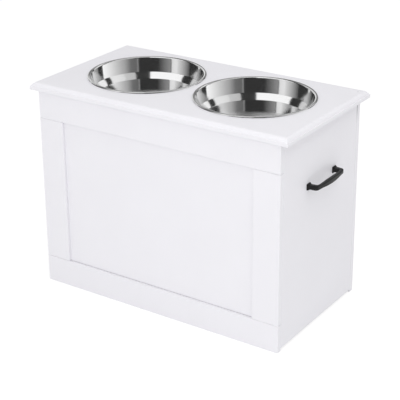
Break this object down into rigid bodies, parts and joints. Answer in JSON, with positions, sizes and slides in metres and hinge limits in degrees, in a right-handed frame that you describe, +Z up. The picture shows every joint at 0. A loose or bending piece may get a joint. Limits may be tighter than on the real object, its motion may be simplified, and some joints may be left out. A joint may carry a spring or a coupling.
{
  "type": "elevated dog feeder with storage",
  "caption": "Raised feeder for a large dog: a white storage cabinet with a hinged lid, lift-out stepped steel bowls and side pull handles.",
  "frame": {"origin": "on the ground under the middle of the lid", "axes": "+Z up, the framed front faces -Y, +X to the feeder's left-to-right, along its length"},
  "size_m": [0.611, 0.3194, 0.4402],
  "materials": {
    "painted_board": "white satin paint on fibreboard",
    "polished_steel": "mirror-polished stainless steel",
    "black_metal": "satin black on cast zinc",
    "hinge_steel": "nickel-plated stamped steel",
    "zinc_steel": "zinc-plated steel",
    "cam_zinc": "plain cast zinc",
    "dowel_wood": "bare fluted beech"
  },
  "bodies": {
    "cabinet": {"front_top_rail": "painted_board", "front_bottom_rail": "painted_board", "front_stile_left": "painted_board", "front_stile_right": "painted_board", "front_panel": "painted_board", "side_panel_left": "painted_board", "side_panel_right": "painted_board", "back_panel": "painted_board", "floor_board": "painted_board", "handle_left": "black_metal", "handle_right": "black_metal", "handle_screws_left": "zinc_steel", "handle_screws_right": "zinc_steel", "hinge_leaf_cabinet_left": "hinge_steel", "hinge_leaf_cabinet_right": "hinge_steel", "hinge_pin_left": "hinge_steel", "hinge_pin_right": "hinge_steel", "hinge_screws_cabinet": "zinc_steel", "frame_dowels": "dowel_wood", "corner_dowels": "dowel_wood", "cam_bolts": "zinc_steel", "cam_locks": "cam_zinc"},
    "lid": {"lid_board": "painted_board", "hinge_leaf_lid_left": "hinge_steel", "hinge_leaf_lid_right": "hinge_steel", "hinge_screws_lid": "zinc_steel"},
    "bowl_left": {"bowl_left": "polished_steel"},
    "bowl_right": {"bowl_right": "polished_steel"}
  },
  "joints": [
    {"name": "lid_hinge", "type": "hinge", "parent": "cabinet", "child": "lid", "pos_m": [0, 0.1543, 0.42215], "axis": [-1, 0, 0], "range_deg": [0, 114]},
    {"name": "bowl_left_lift", "type": "slide", "parent": "lid", "child": "bowl_left", "axis": [0, 0, 1], "range_m": [0, 0.1]},
    {"name": "bowl_right_lift", "type": "slide", "parent": "lid", "child": "bowl_right", "axis": [0, 0, 1], "range_m": [0, 0.1]}
  ]
}
